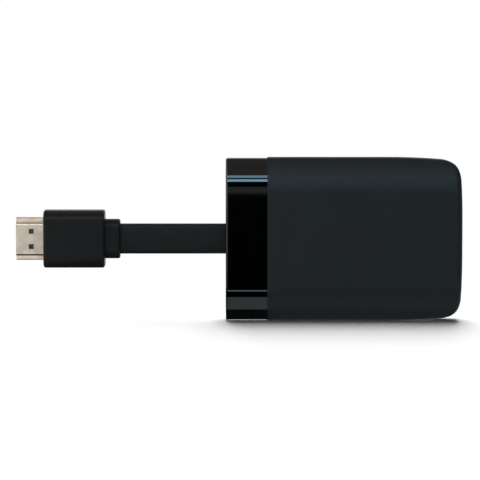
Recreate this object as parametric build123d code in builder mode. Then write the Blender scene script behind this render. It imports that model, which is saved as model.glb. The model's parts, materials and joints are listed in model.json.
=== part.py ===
from build123d import *
import os
from math import radians, sin, sqrt

os.makedirs("parts", exist_ok=True)

# Streaming stick with a flat captive lead, standing on its lower long edge.
# X runs along the housing with the plug at -X, Y runs from the front face to the back, Z is up.
# The origin is under the middle of the housing, on the surface that it stands on.
# All sizes are in millimetres, and heights on a drawing plane are taken from the housing's middle.

# Housing, overall
body_length = 76.6
body_width = 53.0
body_thickness = 15.0
roll_width = 11.2
face_radius = 17.0
edge_radius = 2.0
wall = 1.6

# Outline of the far end: a slow taper, a corner that tightens and eases again, and a slightly bowed end
taper_radius = 214.0
taper_angle = 4.5
easing_radius = 10.0
easing_angle = 18.5
corner_radius = 5.0
bow_radius = 250.0
bow_angle = 3.1
corner_angle = 90 - taper_angle - 2 * easing_angle - bow_angle

# Seam between the two shells
seam_width = 0.24
seam_depth = 0.2
lip_height = 0.8
lip_inset = 0.9

# Gloss cap over the near end
cap_band = 13.5
cap_step = 0.2
cap_wall = 1.2
cap_end_wall = 1.8
cap_end_radius = 0.7
neck_length = 4.0
neck_wall = 1.3
shoulder_length = 2.0
catch_length = 6.0
catch_width = 0.8
catch_height = 0.35
catch_spread = 18.0

# Clearances
fit = 0.05
slip = 0.1
loose = 0.15

# Flat lead and its fixing in the cap
lead_width = 9.8
lead_thickness = 3.3
lead_corner = 1.2
lead_visible = 34.3
lead_inside = 11.3
anchor_length = 7.4
anchor_side = 3.1
anchor_cover = 1.55
anchor_corner = 1.2
stop_thickness = 1.2
stop_gap = 0.25
wire_count = 5
wire_pitch = 1.8
wire_diameter = 1.3
wire_length = 3.4
terminal_side = 4.3
terminal_thickness = 1.7
terminal_length = 4.2
terminal_chamfer = 0.3
header_wall = 1.2
header_roof = 0.8

# Power inlet, a standard reversible socket
inlet_width = 8.94
inlet_height = 3.26
inlet_sheet = 0.3
inlet_length = 7.4
inlet_recess = 0.5
inlet_margin = 0.28
inlet_base = 2.2
inlet_tongue_width = 6.69
inlet_tongue_height = 0.7
inlet_tongue_setback = 0.7
inlet_contact_count = 12
inlet_contact_pitch = 0.5
inlet_contact_width = 0.25
inlet_contact_height = 0.08
inlet_contact_length = 3.6
inlet_leg_width = 1.0
inlet_leg_spread = 3.4

# Main board
board_thickness = 1.0
board_side_gap = 0.8
board_near_gap = 1.9
board_far_gap = 2.3
board_near_corner = 1.0
board_far_corner = 4.0
notch_length = 10.6
notch_side_gap = 3.0

# Board fixing
post_radius = 2.2
post_near_setback = 17.6
post_far_setback = 7.0
post_margin = 3.3
screw_radius = 1.0
screw_length = 5.6
screw_head_radius = 1.9
screw_head_height = 1.2
screw_recess_width = 1.0
screw_recess_depth = 0.6
rib_thickness = 1.0
rib_margin = 0.9
rib_near_gap = 5.0
rib_far_gap = 7.0

# Processor, its shield and its cooling
chip_x = 4.0
chip_size = 14.0
chip_base_height = 0.6
chip_mould_size = 11.5
chip_height = 1.2
chip_draft = 10.0
shield_size = 24.0
shield_height = 2.0
shield_sheet = 0.2
shield_flange = 1.0
shield_skirt = 1.2
pad_size = 11.0
pad_thickness = 1.0
spreader_pad_size = 14.0
spreader_length = 40.0
spreader_width = 26.0
spreader_thickness = 1.0
spreader_corner = 1.5
spreader_offset = 2.0
pedestal_size = 15.0
fin_height = 1.2
fin_thickness = 0.8
fin_pitch = 4.0
fin_length = 6.0
fin_gap = 1.0
fin_rows = 5
peg_radius = 0.8
peg_height = 1.6
peg_margin = 2.0

# Other board parts
memory_length = 10.0
memory_width = 11.0
memory_height = 1.0
memory_spread = 14.0
flash_offset = 4.0
flash_length = 11.5
flash_width = 13.0
flash_height = 1.0
power_chip_gap = 4.0
power_chip_z = -4.0
power_chip_size = 5.0
power_chip_height = 0.9
module_gap = 7.5
module_post_gap = 0.8
module_size = 12.0
module_base_height = 0.8
module_lid_size = 11.2
module_lid_height = 1.3
inductor_size = 4.0
inductor_height = 2.0
inductor_gap = 6.5
inductor_z = -11.5
inductor_pitch = 5.5
inductor_corner = 0.6
capacitor_length = 1.6
capacitor_width = 0.8
capacitor_height = 0.8
capacitor_gap = 5.5
capacitor_z = 8.0
capacitor_pitch_x = 2.4
capacitor_pitch_z = 2.0
capacitor_columns = 3
capacitor_rows = 4
crystal_gap = 4.0
crystal_z = -8.0
crystal_length = 3.2
crystal_width = 2.5
crystal_height = 0.8
antenna_length = 15.0
antenna_sheet = 0.3
antenna_height = 3.6
antenna_strip = 1.2
antenna_leg = 0.9
antenna_leg_pitch = 3.0
antenna_margin = 1.2

# Light and infrared parts behind the gloss cap
horn_part_setback = 2.8
receiver_length = 4.6
receiver_width = 6.0
receiver_height = 3.0
receiver_lens_radius = 1.9
led_length = 2.0
led_width = 1.3
led_height = 0.8
pipe_radius = 1.05
pipe_collar_radius = 1.6
pipe_collar_height = 0.6
pipe_holder_radius = 1.8
pipe_holder_height = 3.0

# Reset button and its switch
button_margin = 14.5
button_width = 5.0
button_height = 2.2
button_recess = 0.15
button_flange_margin = 0.8
button_flange_height = 0.7
button_flange_gap = 0.2
button_stem_width = 3.0
button_stem_height = 1.6
button_stem_length = 0.7
button_travel = 0.3
button_chamfer = 0.15
switch_length = 3.4
switch_width = 5.2
switch_height = 2.6
switch_gap = 0.7
plunger_width = 1.6
plunger_height = 1.2
plunger_length = 1.7
plunger_y = 0.2

# Snap hooks on the back shell
hook_width = 4.0
hook_thickness = 0.8
hook_reach = 2.3
hook_barb = 0.35
hook_root = 2.2
hook_near_gap = 5.0
hook_pitch = 12.5
hook_count = 3
pocket_depth = 0.55
pocket_margin = 0.3

# Plug: moulded body, strain relief and standard D-shaped shell
stub_length = 5.0
stub_root = 3.0
stub_side = 1.5
stub_cover = 1.55
stub_corner = 2.6
stub_edge_radius = 0.6
mould_length = 19.8
mould_width = 18.7
mould_thickness = 10.6
mould_corner = 3.2
mould_edge_radius = 0.7
plug_width = 13.9
plug_height = 4.45
plug_sheet = 0.3
plug_exposed = 9.0
plug_buried = 3.0
plug_narrow = 10.0
plug_step_depth = 1.07
plug_step_spread = 0.2
plug_slope_depth = 0.8
plug_narrow_radius = 0.6
plug_step_radius = 0.8
plug_wide_radius = 0.5
plug_flange = 0.3
plug_flange_length = 0.2
window_length = 1.6
window_width = 1.6
window_from_tip = 4.95
window_pitch = 4.95
insulator_setback = 0.3
mouth_width = 10.6
mouth_height = 1.8
mouth_y = 0.2
contact_pitch = 1.0
contact_width = 0.45
contact_height = 0.25
contact_setback = 0.6
wide_row = 10
narrow_row = 9
can_side = 0.45
can_over = 0.825
can_sheet = 0.3
can_corner = 1.2
can_room = 1.8
can_cover = 1.4
collar_length = 3.3
premould_length = 6.45

# Levels and places worked out from the sizes above
mid_z = body_width / 2
end_x = body_length / 2
flat_width = body_width - 2 * roll_width
cap_line = cap_band - end_x
neck_inset = cap_step + cap_wall + slip
neck_inner = neck_inset + neck_wall
neck_end = cap_line - neck_length
shoulder_end = cap_line + shoulder_length
cap_inner_x = cap_end_wall - end_x
board_front = inlet_height / 2 + fit
board_back = board_front + board_thickness
board_near_x = cap_inner_x + board_near_gap
board_far_x = end_x - board_far_gap
neck_radius = face_radius - neck_inner
neck_headroom = body_thickness / 2 - neck_inner - board_back
neck_half_width = flat_width / 2 + sqrt(neck_radius**2 - (neck_radius - neck_headroom) ** 2)
board_width = 2 * (neck_half_width - board_side_gap)
post_near_x = board_near_x + post_near_setback
post_far_x = board_far_x - post_far_setback
post_spread = board_width - 2 * post_margin
rib_start_x = post_near_x + rib_near_gap
rib_end_x = post_far_x - rib_far_gap
rib_spread = board_width - 2 * rib_margin
antenna_spread = board_width - 2 * antenna_margin
shield_near_x = chip_x - shield_size / 2
shield_far_x = chip_x + shield_size / 2
spreader_x = chip_x + spreader_offset
flash_x = shield_near_x - flash_offset
crystal_x = shield_near_x - crystal_gap
capacitor_x = shield_near_x - capacitor_gap
power_chip_x = shield_far_x + power_chip_gap
module_x = shield_far_x + module_gap
module_z = post_spread / 2 - post_radius - module_post_gap - module_size / 2
inductor_x = shield_far_x + inductor_gap
button_z = body_width / 2 - button_margin
hook_first_x = post_near_x + hook_near_gap
lead_inner_x = lead_inside - end_x
anchor_width = lead_width + 2 * anchor_side
anchor_thickness = lead_thickness + 2 * anchor_cover
terminal_width = lead_width + 2 * terminal_side
notch_width = anchor_width + 2 * notch_side_gap
stub_width = lead_width + 2 * stub_side
stub_thickness = lead_thickness + 2 * stub_cover
stub_end = -end_x - lead_visible
mould_end = stub_end - stub_length
mould_face = mould_end - mould_length
plug_tip = mould_face - plug_exposed
plug_rear = mould_face + plug_buried
can_front = plug_rear - can_cover
can_width = plug_width + 2 * can_side
can_thickness = plug_height + 2 * can_over
can_length = can_cover + fit + premould_length + can_room
can_rear = can_front + can_length
insulator_front = plug_tip + insulator_setback
premould_front = plug_rear + fit
premould_rear = premould_front + premould_length
horn_part_x = board_near_x + horn_part_setback
horn_part_z = (notch_width + board_width) / 4
inlet_mouth = end_x - inlet_recess
inlet_rear = inlet_mouth - inlet_length
chip_top = board_front - chip_height
shield_top = board_front - shield_height
lid_under = shield_top - fit
lid_top = lid_under - shield_sheet
spreader_face = wall + fit - body_thickness / 2
pedestal_face = lid_top - pad_thickness
inner_end = end_x - wall
flange_front = inner_end - button_flange_gap
flange_rear = flange_front - button_flange_height
stem_end = flange_rear - button_stem_length
switch_front = stem_end - switch_gap


# Drawing planes
def across(x):
    """Plane across the housing at x, drawn as (y, height)."""
    return Plane(origin=(x, 0, mid_z), x_dir=(0, 1, 0), z_dir=(1, 0, 0))


def facing(y):
    """Plane parallel to the big faces at y, drawn as (x, height), growing to the front."""
    return Plane(origin=(0, y, mid_z), x_dir=(1, 0, 0), z_dir=(0, -1, 0))


# Shapes of the housing
def housing_section(inset):
    """Cross-section: flat faces that roll over to a narrow flat on each long edge."""
    half_thickness = body_thickness / 2 - inset
    half_width = body_width / 2 - inset
    radius = face_radius - inset
    drop = half_width - flat_width / 2
    half_land = sqrt(radius**2 - drop**2) - radius + half_thickness
    with BuildSketch() as section:
        with BuildLine():
            flat = Line((-half_thickness, 0), (-half_thickness, flat_width / 2))
            roll = TangentArc(flat @ 1, (-half_land, half_width), tangent=flat % 1)
            Line(roll @ 1, (0, half_width))
            mirror(about=Plane.YZ)
            mirror(about=Plane.XZ)
        make_face()
    return section.sketch


corner_arcs = [
    (taper_radius, taper_angle),
    (easing_radius, easing_angle),
    (corner_radius, corner_angle),
    (easing_radius, easing_angle),
    (bow_radius, bow_angle),
]


def corner_run():
    """Length along X that the arcs of one far corner take up."""
    run = 0
    heading = 0
    for radius, angle in corner_arcs:
        run += radius * (sin(radians(heading + angle)) - sin(radians(heading)))
        heading += angle
    return run


def housing_outline(inset):
    """Outline seen from the front, drawn in by inset and open-ended beyond the near end."""
    half_width = body_width / 2 - inset
    near_x = -body_length
    with BuildSketch() as outline:
        with BuildLine():
            stretch = Line((near_x, half_width), (end_x - corner_run(), half_width))
            for radius, angle in corner_arcs:
                stretch = JernArc(stretch @ 1, stretch % 1, radius - inset, -angle)
            Line(stretch @ 1, (end_x - inset, 0))
            Line((near_x, 0), (near_x, half_width))
            mirror(about=Plane.XZ)
        make_face()
    return outline.sketch


def housing_form(inset, x_from, x_to):
    """Solid of the housing's form, drawn in by inset, between two stations along X."""
    section = housing_section(inset)
    outline = housing_outline(inset)
    with BuildPart() as form:
        with BuildSketch(across(x_from)):
            add(section)
        extrude(amount=x_to - x_from)
        with BuildSketch(facing(0)):
            add(outline)
        extrude(amount=body_thickness, both=True, mode=Mode.INTERSECT)
    return form.part


outer_blank = housing_form(0, cap_line, end_x + wall)
neck_blank = housing_form(neck_inset, neck_end, shoulder_end)
main_cavity = housing_form(wall, shoulder_end, end_x)
neck_cavity = housing_form(neck_inner, neck_end, shoulder_end + slip)

# Casing: both shells in one, before they are parted at the seam
with BuildPart() as casing:
    add(outer_blank)
    far_edges = casing.edges().filter_by(Axis.Z).group_by(Axis.X)[-1]
    face_edges = far_edges.sort_by(Axis.Y)
    fillet([face_edges[0], face_edges[-1]], radius=edge_radius)
    add(neck_blank)
    add(main_cavity, mode=Mode.SUBTRACT)
    add(neck_cavity, mode=Mode.SUBTRACT)
    # Power inlet opening
    with BuildSketch(across(inner_end - wall)):
        SlotOverall(inlet_width + 2 * inlet_margin, inlet_height + 2 * inlet_margin, rotation=90)
    extrude(amount=3 * wall, mode=Mode.SUBTRACT)
    # Button opening
    with BuildSketch(across(inner_end - wall)):
        with Locations((0, button_z)):
            SlotOverall(button_width + 2 * slip, button_height + 2 * slip, rotation=90)
    extrude(amount=3 * wall, mode=Mode.SUBTRACT)
    # Pockets in the neck for the cap's catches
    for side in (-1, 1):
        plane = facing(side * (body_thickness / 2 - neck_inset))
        with BuildSketch(plane):
            with Locations(((neck_end + cap_line) / 2, catch_spread / 2)):
                Rectangle(catch_width + 2 * loose, catch_length + 2 * loose)
            with Locations(((neck_end + cap_line) / 2, -catch_spread / 2)):
                Rectangle(catch_width + 2 * loose, catch_length + 2 * loose)
        extrude(amount=-side * (catch_height + slip), both=True, mode=Mode.SUBTRACT)
    # Shadow gap along the seam
    with BuildSketch(facing(0)):
        add(housing_outline(-wall))
        add(housing_outline(seam_depth), mode=Mode.SUBTRACT)
        with Locations((cap_line - body_length, 0)):
            Rectangle(2 * body_length, 2 * body_width, mode=Mode.SUBTRACT)
    extrude(amount=seam_width / 2, both=True, mode=Mode.SUBTRACT)

# Lip on the back shell and the rebate that takes it in the front shell
lip_outline = housing_outline(lip_inset)
lip_inner = housing_outline(wall)
rebate_outline = housing_outline(lip_inset - fit)


def seam_ring(outer, inner, height):
    """Band that follows the far end and both long edges, grown to the front from the seam."""
    with BuildPart() as ring:
        with BuildSketch(facing(0)):
            add(outer)
            add(inner, mode=Mode.SUBTRACT)
            with Locations((shoulder_end - body_length, 0)):
                Rectangle(2 * body_length, 2 * body_width, mode=Mode.SUBTRACT)
        extrude(amount=height)
    return ring.part


lip = seam_ring(lip_outline, lip_inner, lip_height)
rebate = seam_ring(rebate_outline, housing_outline(wall + slip), lip_height + slip)

hook_places = [hook_first_x + hook_pitch * i for i in range(hook_count)]
hook_face = body_width / 2 - wall - slip
pocket_floor = body_width / 2 - wall + pocket_depth
pocket_height = pocket_floor - hook_face + hook_thickness + slip
post_places = [
    (x, side * post_spread / 2)
    for x in (post_near_x, post_far_x)
    for side in (-1, 1)
]
peg_places = [
    (
        spreader_x + side * (spreader_length / 2 - peg_margin),
        side * (spreader_width / 2 - peg_margin),
    )
    for side in (-1, 1)
]

# Front shell
with BuildPart() as front_shell:
    add(casing.part)
    split(bisect_by=Plane.XZ, keep=Keep.TOP)
    add(rebate, mode=Mode.SUBTRACT)
    # Posts that carry the board
    with BuildSketch(facing(board_front)):
        with Locations(*post_places):
            Circle(post_radius)
    extrude(amount=board_front + body_thickness / 2 - wall)
    with BuildSketch(facing(board_front)):
        with Locations(*post_places):
            Circle(screw_radius + fit)
    extrude(amount=screw_length, mode=Mode.SUBTRACT)
    # Two pegs that place the heat spreader at opposite corners
    with BuildSketch(facing(peg_height + wall - body_thickness / 2)):
        with Locations(*peg_places):
            Circle(peg_radius)
    extrude(amount=peg_height + wall / 2)
    # Wall that the lead's anchor bears on
    with BuildSketch(facing(-lead_thickness / 2 - stop_gap)):
        with Locations((neck_end + stop_thickness / 2 + fit, 0)):
            Rectangle(stop_thickness, anchor_width)
    extrude(amount=body_thickness / 2 - neck_inset - lead_thickness / 2 - stop_gap - slip)
    # Pockets for the back shell's hooks
    for side in (-1, 1):
        with BuildSketch(facing(-hook_reach + 2 * hook_barb + pocket_margin)):
            for x in hook_places:
                with Locations((x, side * (pocket_floor - pocket_height / 2))):
                    Rectangle(hook_width + 2 * pocket_margin, pocket_height)
        extrude(amount=2 * hook_barb + 2 * pocket_margin, mode=Mode.SUBTRACT)
front_shell.part.label = "front_shell"
export_step(front_shell.part, "parts/front_shell.step")

# Back shell
with BuildPart() as back_shell:
    add(casing.part)
    split(bisect_by=Plane.XZ, keep=Keep.BOTTOM)
    add(lip)
    # The lip stops short of the inlet and the button
    with BuildSketch(across(inner_end - wall)):
        SlotOverall(inlet_width + 2 * inlet_margin, inlet_height + 2 * inlet_margin, rotation=90)
        with Locations((0, button_z)):
            SlotOverall(button_width + 2 * slip, button_height + 2 * slip, rotation=90)
    extrude(amount=3 * wall, mode=Mode.SUBTRACT)
    # Long ribs that bear on the board's edges
    with BuildSketch(facing(board_back + fit)):
        with Locations(((rib_start_x + rib_end_x) / 2, rib_spread / 2)):
            Rectangle(rib_end_x - rib_start_x, rib_thickness)
        with Locations(((rib_start_x + rib_end_x) / 2, -rib_spread / 2)):
            Rectangle(rib_end_x - rib_start_x, rib_thickness)
    extrude(amount=board_back + fit - body_thickness / 2 + wall)
    # Wall that the lead's anchor bears on
    with BuildSketch(facing(lead_thickness / 2 + stop_gap)):
        with Locations((neck_end + stop_thickness / 2 + fit, 0)):
            Rectangle(stop_thickness, anchor_width)
    extrude(amount=-(body_thickness / 2 - neck_inset - lead_thickness / 2 - stop_gap - slip))
    # Snap hooks: a root on the wall, a tongue past the seam and a barb at its tip
    for side in (-1, 1):
        for x in hook_places:
            with BuildSketch(across(x - hook_width / 2)):
                with BuildLine():
                    Polyline(
                        (hook_root, side * (hook_face + slip + fit)),
                        (slip, side * (hook_face + slip + fit)),
                        (slip, side * hook_face),
                        (-hook_reach + 2 * hook_barb, side * hook_face),
                        (-hook_reach + 2 * hook_barb, side * (hook_face + hook_barb)),
                        (-hook_reach, side * hook_face),
                        (-hook_reach, side * (hook_face - hook_thickness)),
                        (hook_root, side * (hook_face - hook_thickness)),
                        close=True,
                    )
                make_face()
            extrude(amount=hook_width)
back_shell.part.label = "back_shell"
export_step(back_shell.part, "parts/back_shell.step")

# Gloss end cap
cap_section = housing_section(cap_step)
cap_bore = housing_section(cap_step + cap_wall)
with BuildPart() as gloss_end_cap:
    with BuildSketch(across(-end_x)):
        add(cap_section)
    extrude(amount=cap_band)
    land_edges = gloss_end_cap.edges().filter_by(Axis.X)
    long_edges = land_edges.filter_by(lambda e: abs(e.center().Z - mid_z) > body_width / 2 - cap_step - fit)
    fillet(long_edges, radius=edge_radius - cap_step)
    fillet(gloss_end_cap.faces().sort_by(Axis.X)[0].edges(), radius=cap_end_radius)
    with BuildSketch(across(cap_inner_x)):
        add(cap_bore)
    extrude(amount=cap_band, mode=Mode.SUBTRACT)
    # Slot for the lead
    with BuildSketch(across(-end_x)):
        RectangleRounded(lead_thickness + 2 * loose, lead_width + 2 * loose, lead_corner + loose)
    extrude(amount=2 * cap_end_wall, mode=Mode.SUBTRACT)
    # Catches that snap into the neck
    for side in (-1, 1):
        with BuildSketch(facing(side * (body_thickness / 2 - cap_step - cap_wall - catch_height))):
            with Locations(((neck_end + cap_line) / 2, catch_spread / 2)):
                Rectangle(catch_width, catch_length)
            with Locations(((neck_end + cap_line) / 2, -catch_spread / 2)):
                Rectangle(catch_width, catch_length)
        extrude(amount=-side * (catch_height + cap_wall / 2))
    # Holder for the light pipe
    with BuildSketch(facing(-pipe_holder_height)):
        with Locations((horn_part_x, -horn_part_z)):
            Circle(pipe_holder_radius)
            Circle(pipe_radius + fit, mode=Mode.SUBTRACT)
    extrude(amount=body_thickness / 2 - cap_step - cap_wall / 2 - pipe_holder_height)
gloss_end_cap.part.label = "gloss_end_cap"
export_step(gloss_end_cap.part, "parts/gloss_end_cap.step")

# Main board, with two horns either side of the lead
with BuildPart() as main_board:
    with BuildSketch(facing(board_back)) as board_shape:
        with Locations(((board_near_x + board_far_x) / 2, 0)):
            Rectangle(board_far_x - board_near_x, board_width)
        fillet(board_shape.vertices().group_by(Axis.X)[0], radius=board_near_corner)
        fillet(board_shape.vertices().group_by(Axis.X)[-1], radius=board_far_corner)
        with Locations((board_near_x, 0)):
            Rectangle(2 * notch_length, notch_width, mode=Mode.SUBTRACT)
        with Locations(*post_places):
            Circle(screw_radius + slip, mode=Mode.SUBTRACT)
        with Locations((inlet_mouth - inlet_length / 2, 0)):
            with GridLocations(inlet_leg_spread, inlet_width - inlet_sheet, 2, 2):
                Rectangle(inlet_leg_width + 2 * slip, inlet_sheet + 2 * slip, mode=Mode.SUBTRACT)
    extrude(amount=board_thickness)
main_board.part.label = "main_board"
export_step(main_board.part, "parts/main_board.step")

# Processor, a moulded cap on a wider base
with BuildPart() as soc_chip:
    with BuildSketch(facing(board_front)):
        with Locations((chip_x, 0)):
            Rectangle(chip_size, chip_size)
    extrude(amount=chip_base_height)
    with BuildSketch(facing(board_front - chip_base_height)):
        with Locations((chip_x, 0)):
            Rectangle(chip_mould_size, chip_mould_size)
    extrude(amount=chip_height - chip_base_height, taper=chip_draft)
soc_chip.part.label = "soc_chip"
export_step(soc_chip.part, "parts/soc_chip.step")

# Shield frame: a fence with a flange turned in at its top
with BuildPart() as shield_frame:
    with BuildSketch(facing(board_front)):
        with Locations((chip_x, 0)):
            Rectangle(shield_size, shield_size)
    extrude(amount=shield_height)
    with BuildSketch(facing(board_front)):
        with Locations((chip_x, 0)):
            Rectangle(shield_size - 2 * shield_sheet, shield_size - 2 * shield_sheet)
    extrude(amount=shield_height - shield_sheet, mode=Mode.SUBTRACT)
    with BuildSketch(facing(shield_top + shield_sheet)):
        with Locations((chip_x, 0)):
            Rectangle(shield_size - 2 * shield_flange, shield_size - 2 * shield_flange)
    extrude(amount=shield_sheet, mode=Mode.SUBTRACT)
shield_frame.part.label = "shield_frame"
export_step(shield_frame.part, "parts/shield_frame.step")

# Shield lid: a shallow tray over the frame
lid_bore = shield_size + 2 * fit
with BuildPart() as shield_lid:
    with BuildSketch(facing(lid_under + shield_skirt)):
        with Locations((chip_x, 0)):
            Rectangle(lid_bore + 2 * shield_sheet, lid_bore + 2 * shield_sheet)
    extrude(amount=shield_skirt + shield_sheet)
    with BuildSketch(facing(lid_under + shield_skirt)):
        with Locations((chip_x, 0)):
            Rectangle(lid_bore, lid_bore)
    extrude(amount=shield_skirt, mode=Mode.SUBTRACT)
shield_lid.part.label = "shield_lid"
export_step(shield_lid.part, "parts/shield_lid.step")

# Soft pads: one between the processor and the lid, one between the lid and the spreader
with BuildPart() as chip_pad:
    with BuildSketch(facing(chip_top)):
        with Locations((chip_x, 0)):
            Rectangle(pad_size, pad_size)
    extrude(amount=chip_top - lid_under)
chip_pad.part.label = "chip_pad"
export_step(chip_pad.part, "parts/chip_pad.step")

with BuildPart() as spreader_pad:
    with BuildSketch(facing(lid_top)):
        with Locations((chip_x, 0)):
            Rectangle(spreader_pad_size, spreader_pad_size)
    extrude(amount=pad_thickness)
spreader_pad.part.label = "spreader_pad"
export_step(spreader_pad.part, "parts/spreader_pad.step")

# Heat spreader: a cast plate with a pedestal over the processor and short fins beside it
with BuildPart() as heat_spreader:
    with BuildSketch(facing(spreader_face + spreader_thickness)) as spreader_plate:
        with Locations((spreader_x, 0)):
            Rectangle(spreader_length, spreader_width)
        chamfer(spreader_plate.vertices(), length=spreader_corner)
        with Locations(*peg_places):
            Circle(peg_radius + slip, mode=Mode.SUBTRACT)
    extrude(amount=spreader_thickness)
    with BuildSketch(facing(spreader_face + spreader_thickness)):
        with Locations((chip_x, 0)):
            Rectangle(pedestal_size, pedestal_size)
    extrude(amount=spreader_face + spreader_thickness - pedestal_face)
    with BuildSketch(facing(spreader_face + spreader_thickness)):
        with Locations((chip_x, 0)):
            with GridLocations(pedestal_size + 2 * fin_gap + fin_length, fin_pitch, 2, fin_rows):
                Rectangle(fin_length, fin_thickness)
    extrude(amount=-fin_height)
heat_spreader.part.label = "heat_spreader"
export_step(heat_spreader.part, "parts/heat_spreader.step")

# Memory and flash chips on the back of the board
with BuildPart() as memory_chips:
    with BuildSketch(facing(board_back)):
        with Locations((chip_x, 0)):
            with GridLocations(memory_length, memory_spread, 1, 2):
                Rectangle(memory_length, memory_width)
    extrude(amount=-memory_height)
memory_chips.part.label = "memory_chips"
export_step(memory_chips.part, "parts/memory_chips.step")

with BuildPart() as flash_chip:
    with BuildSketch(facing(board_back)):
        with Locations((flash_x, 0)):
            Rectangle(flash_length, flash_width)
    extrude(amount=-flash_height)
flash_chip.part.label = "flash_chip"
export_step(flash_chip.part, "parts/flash_chip.step")

# Power chip
with BuildPart() as power_chip:
    with BuildSketch(facing(board_front)):
        with Locations((power_chip_x, power_chip_z)):
            Rectangle(power_chip_size, power_chip_size)
    extrude(amount=power_chip_height)
power_chip.part.label = "power_chip"
export_step(power_chip.part, "parts/power_chip.step")

# Wireless module and the metal lid on it
with BuildPart() as wireless_module:
    with BuildSketch(facing(board_front)):
        with Locations((module_x, module_z)):
            Rectangle(module_size, module_size)
    extrude(amount=module_base_height)
wireless_module.part.label = "wireless_module"
export_step(wireless_module.part, "parts/wireless_module.step")

with BuildPart() as wireless_lid:
    with BuildSketch(facing(board_front - module_base_height)):
        with Locations((module_x, module_z)):
            Rectangle(module_lid_size, module_lid_size)
    extrude(amount=module_lid_height)
    with BuildSketch(facing(board_front - module_base_height)):
        with Locations((module_x, module_z)):
            Rectangle(module_lid_size - 2 * shield_sheet, module_lid_size - 2 * shield_sheet)
    extrude(amount=module_lid_height - shield_sheet, mode=Mode.SUBTRACT)
wireless_lid.part.label = "wireless_lid"
export_step(wireless_lid.part, "parts/wireless_lid.step")

# Inductors, capacitors and crystal
with BuildPart() as inductors:
    with BuildSketch(facing(board_front)):
        with Locations((inductor_x, inductor_z)):
            with GridLocations(inductor_pitch, inductor_pitch, 2, 1):
                Rectangle(inductor_size, inductor_size)
        with Locations((inductor_x + inductor_pitch / 2, inductor_z + inductor_pitch)):
            Rectangle(inductor_size, inductor_size)
    extrude(amount=inductor_height)
    chamfer(inductors.edges().filter_by(Axis.Y), length=inductor_corner)
inductors.part.label = "inductors"
export_step(inductors.part, "parts/inductors.step")

with BuildPart() as capacitors:
    with BuildSketch(facing(board_front)):
        with Locations((capacitor_x, capacitor_z)):
            with GridLocations(capacitor_pitch_x, capacitor_pitch_z, capacitor_columns, capacitor_rows):
                Rectangle(capacitor_length, capacitor_width)
    extrude(amount=capacitor_height)
capacitors.part.label = "capacitors"
export_step(capacitors.part, "parts/capacitors.step")

with BuildPart() as crystal:
    with BuildSketch(facing(board_front)):
        with Locations((crystal_x, crystal_z)):
            Rectangle(crystal_length, crystal_width)
    extrude(amount=crystal_height)
crystal.part.label = "crystal"
export_step(crystal.part, "parts/crystal.step")

# Stamped antennas, an upright strip on two legs along each long edge of the board
with BuildPart() as wifi_antennas:
    for side in (-1, 1):
        antenna_plane = Plane(
            origin=(0, 0, mid_z + side * antenna_spread / 2),
            x_dir=(1, 0, 0),
            z_dir=(0, 0, 1),
        )
        with BuildSketch(antenna_plane):
            with Locations((chip_x, board_front - antenna_height)):
                Rectangle(antenna_length, antenna_strip, align=(Align.MIN, Align.MIN))
            for i in range(2):
                with Locations((chip_x + i * antenna_leg_pitch, board_front - antenna_height)):
                    Rectangle(antenna_leg, antenna_height, align=(Align.MIN, Align.MIN))
        extrude(amount=antenna_sheet / 2, both=True)
wifi_antennas.part.label = "wifi_antennas"
export_step(wifi_antennas.part, "parts/wifi_antennas.step")

# Infrared receiver, a moulded block with a domed lens
with BuildPart() as ir_receiver:
    with BuildSketch(facing(board_front)):
        with Locations((horn_part_x, horn_part_z)):
            Rectangle(receiver_length, receiver_width)
    extrude(amount=receiver_height)
    with Locations((horn_part_x, board_front - receiver_height, mid_z + horn_part_z)):
        Sphere(receiver_lens_radius)
ir_receiver.part.label = "ir_receiver"
export_step(ir_receiver.part, "parts/ir_receiver.step")

# Status light and the clear pipe that takes it to the cap
with BuildPart() as status_led:
    with BuildSketch(facing(board_front)):
        with Locations((horn_part_x, -horn_part_z)):
            Rectangle(led_length, led_width)
    extrude(amount=led_height)
status_led.part.label = "status_led"
export_step(status_led.part, "parts/status_led.step")

pipe_foot = board_front - led_height - slip
pipe_face = cap_step + cap_wall + slip - body_thickness / 2
pipe_room = housing_section(cap_step + cap_wall + slip)
with BuildPart() as light_pipe:
    with BuildSketch(facing(pipe_foot)):
        with Locations((horn_part_x, -horn_part_z)):
            Circle(pipe_radius)
    extrude(amount=pipe_foot - pipe_face)
    with BuildSketch(facing(-pipe_holder_height + fit + pipe_collar_height)):
        with Locations((horn_part_x, -horn_part_z)):
            Circle(pipe_collar_radius)
    extrude(amount=pipe_collar_height)
    # Its face follows the inside of the cap
    with BuildSketch(across(horn_part_x - pipe_collar_radius)):
        add(pipe_room)
    extrude(amount=2 * pipe_collar_radius, mode=Mode.INTERSECT)
light_pipe.part.label = "light_pipe"
export_step(light_pipe.part, "parts/light_pipe.step")

# Screws that hold the board on the posts
with BuildPart() as board_screws:
    with BuildSketch(facing(board_back)):
        with Locations(*post_places):
            Circle(screw_head_radius)
    extrude(amount=-screw_head_height)
    with BuildSketch(facing(board_back)):
        with Locations(*post_places):
            Circle(screw_radius)
    extrude(amount=screw_length)
    with BuildSketch(facing(board_back + screw_head_height)):
        with Locations(*post_places):
            RegularPolygon(screw_recess_width, 6)
    extrude(amount=screw_recess_depth, mode=Mode.SUBTRACT)
board_screws.part.label = "board_screws"
export_step(board_screws.part, "parts/board_screws.step")


# Power inlet
def inlet_slot(inset):
    """Round-ended section of the inlet, drawn in by inset, standing upright."""
    with BuildSketch() as slot:
        SlotOverall(inlet_width - 2 * inset, inlet_height - 2 * inset, rotation=90)
    return slot.sketch


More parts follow.
